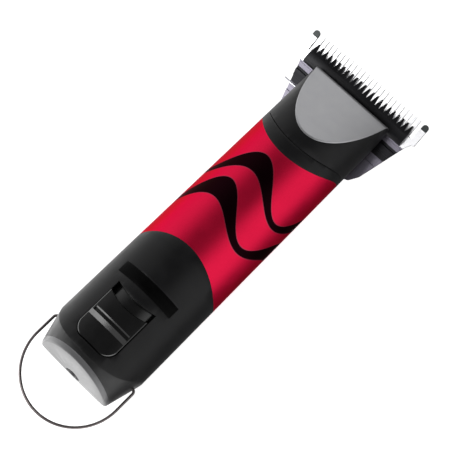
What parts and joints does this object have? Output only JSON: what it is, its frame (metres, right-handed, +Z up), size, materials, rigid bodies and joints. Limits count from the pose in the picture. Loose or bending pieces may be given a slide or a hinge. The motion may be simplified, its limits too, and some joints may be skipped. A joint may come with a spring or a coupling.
{
  "type": "animal hair clipper",
  "caption": "Hand-held livestock clipper: round two-colour handle with thumb switch, wire hanging loop, sloping head and a hinged wide toothed blade set.",
  "frame": {"origin": "centre of the bottom of the bounding box, on the surface the clipper lies on", "axes": "+X along the handle towards the blade, +Y across the blade to the user's left, +Z up through the thumb switch"},
  "size_m": [0.204, 0.0672, 0.0459],
  "materials": {
    "black_plastic": "satin",
    "end_plastic": "satin",
    "red_plastic": "satin metallic lacquer",
    "facet_grey": "satin",
    "label_black": "gloss",
    "switch_black": "polished",
    "inner_plastic": "matt",
    "switch_case": "matt",
    "guide_plastic": "satin",
    "lever_tip": "satin",
    "board_green": "satin",
    "wire_red": "satin",
    "contact_copper": "satin",
    "copper_wire": "enamelled",
    "brass": "satin",
    "nickel": "polished",
    "screw_steel": "satin",
    "motor_steel": "zinc plated",
    "lever_steel": "satin",
    "spring_steel": "polished",
    "blade_steel": "ground and polished",
    "bail_steel": "bright drawn wire",
    "cutter_black": "black oxide",
    "core_iron": "laminated",
    "magnet": "matt",
    "brush_carbon": "matt",
    "damper_rubber": "matt"
  },
  "bodies": {
    "housing": {"rear_housing": "black_plastic", "end_cap": "end_plastic", "handle_sleeve": "red_plastic", "sleeve_screws": "screw_steel", "head_collar": "black_plastic", "head_cap": "black_plastic", "facet_plate": "facet_grey", "head_base": "black_plastic", "base_screws": "screw_steel", "label_plate": "label_black", "slide_switch": "switch_case", "circuit_board": "board_green", "dc_socket": "black_plastic", "dc_pin": "nickel", "lead_wires": "wire_red", "motor_can": "motor_steel", "motor_end_bell": "inner_plastic", "motor_magnets": "magnet", "motor_bushes": "brass", "motor_brushes": "brush_carbon", "damper_rings": "damper_rubber", "motor_plate": "motor_steel", "motor_screws": "screw_steel", "lever_pin": "motor_steel", "hinge_bracket": "blade_steel", "hinge_pin": "motor_steel", "latch_spring": "spring_steel"},
    "switch": {"switch_button": "switch_black", "switch_link": "inner_plastic", "switch_wiper": "contact_copper"},
    "rotor": {"motor_shaft": "motor_steel", "rotor_core": "core_iron", "rotor_windings": "copper_wire", "commutator": "contact_copper", "eccentric_hub": "brass"},
    "lever": {"drive_lever": "lever_steel", "lever_bush": "brass", "lever_tip": "lever_tip"},
    "blade_set": {"hinge_tongue": "blade_steel", "comb_blade": "blade_steel", "cutter_guide": "guide_plastic", "tension_spring": "spring_steel", "tension_pin": "spring_steel", "blade_socket": "blade_steel", "blade_screws": "screw_steel"},
    "cutter": {"cutter_blade": "cutter_black"},
    "latch": {"latch_button": "black_plastic"},
    "bail": {"bail_wire": "bail_steel"}
  },
  "joints": [
    {"name": "switch_slide", "type": "slide", "parent": "housing", "child": "switch", "axis": [1, 0, 0], "range_m": [0, 0.0042]},
    {"name": "bail_swing", "type": "hinge", "parent": "housing", "child": "bail", "pos_m": [-0.06798, 0, 0.0227], "axis": [0, 1, 0], "range_deg": [-100, 100]},
    {"name": "motor_spin", "type": "hinge", "parent": "housing", "child": "rotor", "pos_m": [0.00652, 0, 0.0227], "axis": [1, 0, 0], "continuous": true},
    {"name": "lever_swing", "type": "hinge", "parent": "housing", "child": "lever", "pos_m": [0.06902, 0, 0.0227], "axis": [0, 0, 1], "range_deg": [-4.9, 4.9]},
    {"name": "blade_tilt", "type": "hinge", "parent": "housing", "child": "blade_set", "pos_m": [0.0583, 0, 0.00735], "axis": [0, 1, 0], "range_deg": [0, 55]},
    {"name": "cutter_slide", "type": "slide", "parent": "blade_set", "child": "cutter", "axis": [0, 1, 0], "range_m": [-0.00125, 0.00125]},
    {"name": "latch_slide", "type": "slide", "parent": "housing", "child": "latch", "axis": [-1, 0, 0], "range_m": [0, 0.0015], "stiffness_N_per_m": 400, "springref_m": -0.002, "deforming": ["latch_spring"]}
  ],
  "couplings": [
    {"joint": "cutter_slide", "follows": "lever_swing", "m_per_rad": 0.0146}
  ]
}
